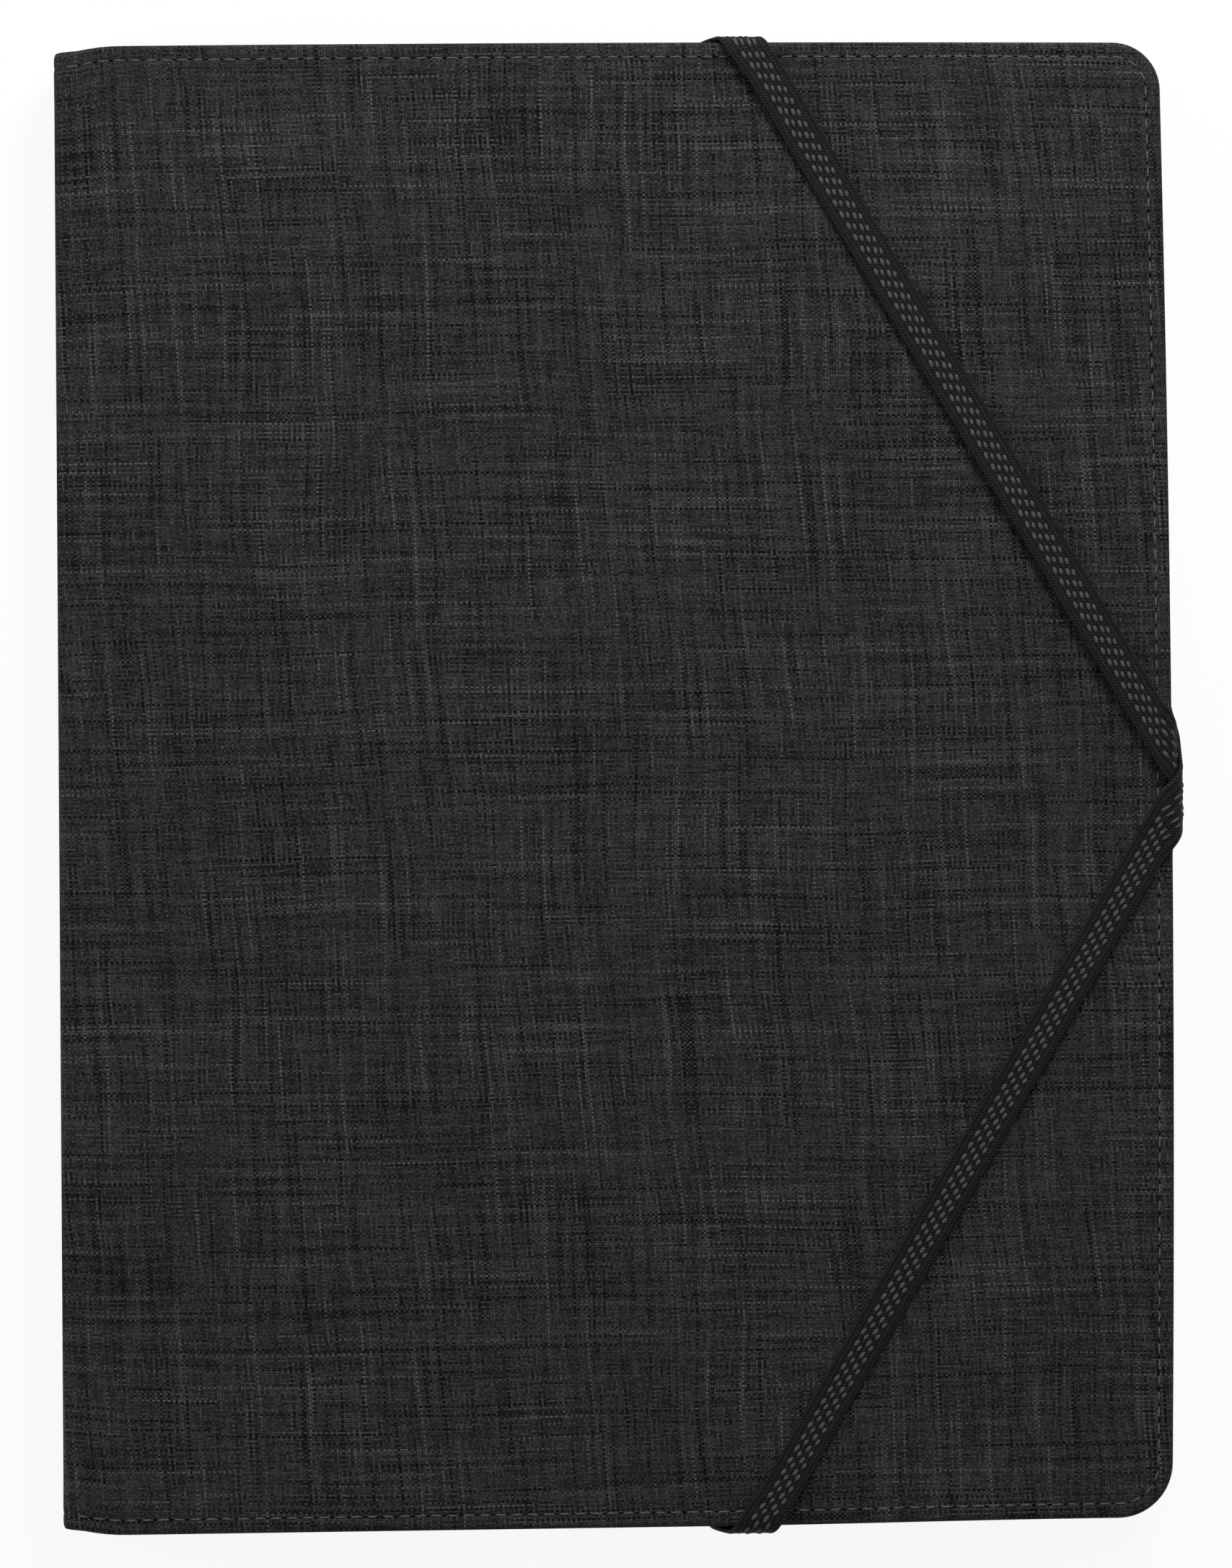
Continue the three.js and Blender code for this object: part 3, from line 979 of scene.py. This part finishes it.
def straight_seam(builder, start, stop, z, up):
    """Stitches along one straight line on a panel whose outer side is up (1) or down (-1)."""
    ax, ay = start
    bx, by = stop
    length = math.hypot(bx - ax, by - ay)
    dx, dy = (bx - ax) / length, (by - ay) / length
    frame = (Vector((-dy, dx, 0)), Vector((0, 0, up)))
    count = int(length / panel_stitch_pitch)
    for i in range(count):
        middle = (i + 0.5) * length / count

        def place_at(t, rise):
            place = middle + t * panel_stitch_half_length
            return Vector((ax + dx * place, ay + dy * place, z + up * rise))

        add_stitch(builder, place_at, frame, **panel_yarn)


def panel_with_seams(node, body, face_up, seam_inset):
    """A pocket or sleeve with a seam along each of its four sides."""
    obj = soft_panel(node, lining, pocket_radius, pocket_radius, face_up, seam_inset)
    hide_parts(node)
    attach(obj, body)
    low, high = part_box(node)
    corners = [(x, y) for x in (low[0] + seam_inset, high[0] - seam_inset)
               for y in (low[1] + seam_inset, high[1] - seam_inset)]
    z = high[2] - panel_seam_sunk if face_up else low[2] + panel_seam_sunk
    builder = Builder()
    for start, stop in ((0, 1), (2, 3), (0, 2), (1, 3)):
        straight_seam(builder, corners[start], corners[stop], z, 1 if face_up else -1)
    seams = builder.build(node + "_seams", [lining_thread])
    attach(seams, body)


def cover_board(node, body):
    board_panel = soft_panel(node, grey_board, board_spine_radius, board_fore_radius, True, trim=board_trim)
    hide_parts(node)
    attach(board_panel, body)


def cover_lining(node, body, face_up):
    obj = soft_panel(node, lining, lining_spine_radius, lining_fore_radius, face_up)
    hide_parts(node)
    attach(obj, body)


def lining_fold(name, board_box, lining_box, body):
    """The lining turned down over the board's edge beside the spine."""
    left = lining_box[0][0] + fold_inset
    right = left + fold_thickness
    head = board_box[1][1] - fold_end_gap
    low = min(board_box[0][2], lining_box[0][2]) + fold_face_gap
    high = max(board_box[1][2], lining_box[1][2]) - fold_face_gap
    points = [(x, y, z) for z in (low, high) for y in (-head, head) for x in (left, right)]
    faces = [(0, 2, 3, 1), (4, 5, 7, 6), (0, 1, 5, 4), (1, 3, 7, 5), (3, 2, 6, 7), (2, 0, 4, 6)]
    obj = new_object(name, points, faces, lining)
    obj.data.polygons.foreach_set("use_smooth", [False] * len(faces))
    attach(obj, body)


cover_board("front_cover_board", "front")
cover_board("back_cover_board", "back")
cover_lining("front_cover_lining", "front", False)
cover_lining("back_cover_lining", "back", True)
for cover in ("front", "back"):
    board_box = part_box(f"{cover}_cover_board")
    lining_fold(f"{cover}_lining_fold", board_box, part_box(f"{cover}_cover_lining"), cover)


def front_inner_point(u, v, lift):
    return Vector((u, v, inner_face - lift + inner_seam_sunk))


def back_inner_point(u, v, lift):
    return flip_to_back(front_inner_point(u, v, lift))


seam("front_inner_stitching", front_inner_point, False, lining_thread, "front", inner_seam_inset)
seam("back_inner_stitching", back_inner_point, False, lining_thread, "back", inner_seam_inset)

panel_with_seams("pad_sleeve", "back", True, pocket_seam_inset)
panel_with_seams("document_pocket", "front", False, pocket_seam_inset)
for number in range(1, 4):
    panel_with_seams(f"card_pocket_{number}", "front", False, card_pocket_seam_inset)


def spine_lining():
    """The spine's lining, with its long edges rolled towards the hinges."""
    low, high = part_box("spine_lining")
    rows = spine_lining_rows
    columns = spine_lining_columns
    middle = (columns - 1) / 2
    points = []
    for face_x in (high[0], low[0]):
        for j in range(rows + 1):
            y = lerp(low[1], high[1], j / rows)
            for i in range(columns):
                bend = abs(i / middle - 1) ** 3 * spine_lining_bend
                z = lerp(low[2] - spine_lining_reach, high[2] + spine_lining_reach, i / (columns - 1))
                points.append((face_x - bend, y, z))
    layer = (rows + 1) * columns
    faces = []
    for j in range(rows):
        for i in range(columns - 1):
            a = j * columns + i
            b = a + layer
            faces.append((a, a + columns, a + columns + 1, a + 1))
            faces.append((b, b + 1, b + columns + 1, b + columns))
    for j in range(rows):
        a = j * columns
        b = a + columns - 1
        faces.append((a, a + layer, a + layer + columns, a + columns))
        faces.append((b + columns, b + layer + columns, b + layer, b))
    for i in range(columns - 1):
        a = i
        b = rows * columns + i
        faces.append((a + 1, a + layer + 1, a + layer, a))
        faces.append((b, b + layer, b + layer + 1, b + 1))
    obj = new_object("spine_lining_cloth", points, faces, lining)
    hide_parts("spine_lining")
    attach(obj, "spine")


spine_lining()


# Elastic band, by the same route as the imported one, unrolled: y runs along each half of it

bend_radius = band_edge_radius + band_lift + band_thickness / 2
bend_arc = quarter_turn * bend_radius
rim_flat = top_z - bottom_z - 2 * band_edge_radius
rim_length = 2 * bend_arc + rim_flat
band_slope = (end_y - band_rim_offset) / (fore_x - band_top_x)
band_lean = math.atan(1 / band_slope)
rim_start_x = fore_x - band_edge_radius
rim_start_y = end_y - band_edge_radius
band_end = band_rim_offset - (rim_start_x + rim_length + band_end_on_back - fore_x) * band_slope
back_start = rim_start_y + rim_length
band_middle = back_start + rim_start_y


def round_rim(distance, lift):
    """How far out and how high the band is, distance past the start of a rim's bend."""
    radius = band_edge_radius + lift
    if distance <= bend_arc:
        angle = max(distance, 0.0) / bend_radius
        return (min(distance, 0.0) + radius * math.sin(angle),
                top_z - band_edge_radius + radius * math.cos(angle))
    if distance <= bend_arc + rim_flat:
        return radius, top_z - band_edge_radius - (distance - bend_arc)
    if distance <= rim_length:
        angle = (distance - bend_arc - rim_flat) / bend_radius
        return radius * math.cos(angle), bottom_z + band_edge_radius - radius * math.sin(angle)
    return rim_length - distance, bottom_z - lift


def on_folder(x, y, lift):
    """A point of the unrolled band, wrapped round the folder."""
    if x > rim_start_x:
        out, z = round_rim(x - rim_start_x, lift)
        return Vector((rim_start_x + out, y, z))
    if abs(y) > rim_start_y:
        out, z = round_rim(abs(y) - rim_start_y, lift)
        return Vector((x, math.copysign(rim_start_y + out, y), z))
    return Vector((x, y, top_z + lift))


def band_centre(y):
    straight = fore_x - (y - band_rim_offset) / band_slope
    turn = smooth((y - (end_y - band_turn_length / 3)) / (band_turn_length * 4 / 3))
    return lerp(straight, band_back_x, turn)


def centre_slope(y):
    return (band_centre(y + slope_step) - band_centre(y)) / slope_step


def crossing_lift(along):
    """The lower strap lies over the upper one."""
    rise = 1 - smooth((abs(along) - band_crossing_flat) / band_crossing_ramp)
    return rise * (band_thickness + band_crossing_gap)


def rim_lift(distance):
    """The stretched band stands off the cover towards the fore edge."""
    return band_rim_lift * (1 - smooth((abs(distance) - band_rim_lift_flat) / band_rim_lift_ramp))


def end_lift(distance):
    """It also stands off where it rounds the top and foot edges."""
    return band_end_lift * (1 - smooth((abs(distance) - band_end_lift_flat) / band_end_lift_ramp))


def band_point(y, offset, side, lift):
    """A point of one half of the band: y along it, offset across it, side 1 above and -1 below."""
    centre = band_centre(y)
    lean = math.atan2(band_centre(y + lean_step) - centre, lean_step)
    x = centre + offset * math.cos(lean)
    place_y = side * (y - offset * math.sin(lean))
    off_table = smooth(on_folder(x, place_y, band_lift).z / band_lift_fade)
    extra = max(rim_lift(fore_x - centre), end_lift(y - end_y - rim_length / 4))
    raised = band_lift + lift + extra * off_table
    if side < 0 and centre > band_top_x:
        crossing_x = fore_x + band_rim_offset / band_slope
        raised += crossing_lift((crossing_x - centre) / math.sin(band_lean))
    point = on_folder(x, place_y, raised)
    point.z = max(point.z, 0.0)
    return point


def band_steps():
    """Places along one half, even in true length, from its end to the middle of the back."""
    places = [band_end]
    while places[-1] < band_middle:
        y = places[-1]
        near_fore = y < band_fine_from_fore
        near_end = end_y - band_fine_at_ends < y < back_start + band_fine_at_ends
        step = band_fine_step if near_fore or near_end else band_coarse_step
        places.append(min(y + step / math.hypot(1, centre_slope(y)), band_middle))
    return places


def band_section():
    """Half-round selvedges and a slightly dented middle: offset across and height."""
    half = band_width / 2
    flat = half - band_selvedge
    rise = band_thickness - band_selvedge
    middle = [lerp(-flat, flat, i / band_section_steps) for i in range(band_section_steps + 1)]
    section = list(reversed(arc(-flat, rise, band_selvedge, quarter_turn, band_selvedge_steps)))
    section += [(offset, band_thickness - band_dent) for offset in middle[1:-1]]
    section += reversed(arc(flat, rise, band_selvedge, 0, band_selvedge_steps))
    section.append((half, band_dent))
    section += [(offset, 0.0) for offset in reversed(middle)]
    section.append((-half, band_dent))
    return section


def elastic_band():
    section = band_section()
    stations = [(y, 1) for y in band_steps()]
    stations += [(y, -1) for y in reversed(band_steps()[:-1])]
    points = []
    uvs = []
    along = 0.0
    previous = band_point(band_end, 0, 1, 0)
    for y, side in stations:
        centre = band_point(y, 0, side, 0)
        along += (centre - previous).length
        previous = centre
        for offset, height in section:
            points.append(band_point(y, offset, side, height))
            uvs.append((offset, along))
    faces = ring_faces(len(stations), len(section)) + end_faces(len(stations), len(section))
    return new_object("elastic_band_cloth", points, faces, elastic, uvs)


def band_trace():
    """Places along one half of the band, with its true length up to each."""
    ys = [band_end]
    lengths = [0.0]
    while ys[-1] < band_middle:
        lengths.append(lengths[-1] + dash_trace_step)
        ys.append(ys[-1] + dash_trace_step / math.hypot(1, centre_slope(ys[-1])))
    return ys, lengths


def add_dash(builder, trace, side, across, size, middle):
    """One dash: a flattened tube that follows the face of the band."""
    ys, lengths = trace
    centres = []
    frames = []
    radii = []
    for k in range(dash_rings):
        t = 2 * k / (dash_rings - 1) - 1
        y = float(np.interp(middle + t * dash_half_length * size, lengths, ys))
        offset = across + t * dash_slant * side
        low = band_point(y, offset, side, band_thickness - dash_sunk)
        high = band_point(y, offset, side, band_thickness + dash_proud)
        face = band_point(y, offset, side, band_thickness)
        beside = band_point(y, offset + dash_beside, side, band_thickness)
        up = (high - low).normalized()
        centres.append(low)
        frames.append(((beside - face).normalized(), up * dash_flatness))
        radii.append(dash_radius * math.sqrt(size * max(1 - t * t, dash_tip)))
    builder.tube(centres, frames, radii, 8)


def band_dashes():
    """Raised grey dashes in four columns, in slanted rows all along the band."""
    builder = Builder()
    trace = band_trace()
    stop = trace[1][-1] - dash_end_gap
    for side in (1, -1):
        for across, size in dash_columns:
            middle = (-across * math.tan(dash_rows_skew) * side) % dash_pitch + dash_end_gap
            while middle < stop:
                add_dash(builder, trace, side, across, size, middle)
                middle += dash_pitch
    for point in builder.points:
        point.z = max(point.z, dash_table_gap)
    return builder.build("band_dashes", [dash_thread])


band = elastic_band()
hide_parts("elastic_band")
dashes = band_dashes()
for piece in (band, dashes):
    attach(piece, "back")
    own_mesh(piece)


# Pen loop: a flattened elastic tube along Y, with rounded lips

def pen_loop():
    low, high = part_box("pen_loop")
    radius = loop_corner_radius
    rings = [rounded_rectangle(low[0], high[0], low[2], high[2], radius, radius, inset)
             for inset in (0, loop_wall)]
    stations = [(low[1] + away, inset) for away, inset in loop_lip]
    stations += [(lerp(low[1], high[1], k / loop_rows), 0.0) for k in range(1, loop_rows)]
    stations += [(high[1] - away, inset) for away, inset in reversed(loop_lip)]
    middle_x = (low[0] + high[0]) / 2
    middle_height = (low[2] + high[2]) / 2
    points = []
    uvs = []
    for y, inset in stations:
        shrink = 2 * inset / (high[0] - low[0])
        for ring, factor in zip(rings, (1 - shrink, 1 + shrink)):
            for k, (x, z) in enumerate(ring):
                points.append((lerp(middle_x, x, factor), y, lerp(middle_height, z, factor)))
                uvs.append((y, k * mm))
    count = len(rings[0])
    faces = []
    for r in range(len(stations) - 1):
        for k in range(count):
            a = 2 * r * count + k
            b = 2 * r * count + (k + 1) % count
            faces.append((a, a + 2 * count, b + 2 * count, b))
            faces.append((a + count, b + count, b + 3 * count, a + 3 * count))
    for r in (0, len(stations) - 1):
        for k in range(count):
            a = 2 * r * count + k
            b = 2 * r * count + (k + 1) % count
            lip = (a, b, b + count, a + count)
            faces.append(lip[::-1] if r else lip)
    obj = new_object("pen_loop_elastic", points, faces, elastic, uvs)
    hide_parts("pen_loop")
    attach(obj, "back")


pen_loop()

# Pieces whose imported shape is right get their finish

finishes = {
    "pad_pages": paper,
    "pad_backing_card": backing_card,
    "pad_binding_tape": tape,
}
for node, material in finishes.items():
    slots = frame["nodes"][node].data.materials
    slots.clear()
    slots.append(material)


# Floor, light and camera

def floor():
    """A pale sheet that looks almost evenly bright to the camera."""
    g = Graph("studio_floor")
    g.finish((floor_tone, floor_tone, floor_tone, 1), 0.9)
    path = g.nodes.new("ShaderNodeLightPath")
    glow = g.nodes.new("ShaderNodeEmission")
    glow.inputs["Color"].default_value = (1, 1, 1, 1)
    both = g.nodes.new("ShaderNodeMixShader")
    mirrored = g.math("MAXIMUM", path.outputs["Is Glossy Ray"], path.outputs["Is Transmission Ray"])
    seen = g.math("MAXIMUM", path.outputs["Is Camera Ray"], mirrored)
    g.put(g.multiply(seen, floor_glow), both.inputs[0])
    g.links.new(g.shader.outputs[0], both.inputs[1])
    g.links.new(glow.outputs[0], both.inputs[2])
    g.links.new(both.outputs[0], g.output.inputs["Surface"])
    size = floor_half_size
    points = [(-size, -size, 0), (size, -size, 0), (size, size, 0), (-size, size, 0)]
    obj = new_object("floor", points, [(0, 1, 2, 3)], g.material)


def area_light(name, position, size, power):
    """A square light turned towards the middle of the folder."""
    data = bpy.data.lights.new(name, "AREA")
    data.size = size
    data.energy = power
    obj = link_object(name, data)
    obj.location = position
    obj.rotation_euler = (-Vector(position)).to_track_quat("-Z", "Y").to_euler()


def studio():
    world = bpy.data.worlds.new("studio")
    world.use_nodes = True
    background = world.node_tree.nodes["Background"]
    background.inputs["Color"].default_value = (1, 1, 1, 1)
    background.inputs["Strength"].default_value = world_strength
    bpy.context.scene.world = world
    area_light("key", key_place, key_size, key_power)
    area_light("fill", fill_place, fill_size, fill_power)


def camera():
    data = bpy.data.cameras.new("camera")
    data.sensor_fit = "VERTICAL"
    data.sensor_height = sensor_height
    data.lens = sensor_height * focal_pixels / photo_height
    data.clip_start = 0.05
    data.clip_end = 30
    obj = link_object("camera", data)
    obj.location = camera_position
    obj.rotation_euler = Euler([math.radians(a) for a in camera_turn], "XYZ")
    bpy.context.scene.camera = obj


floor()
studio()
camera()
bpy.context.scene.view_settings.view_transform = "Standard"
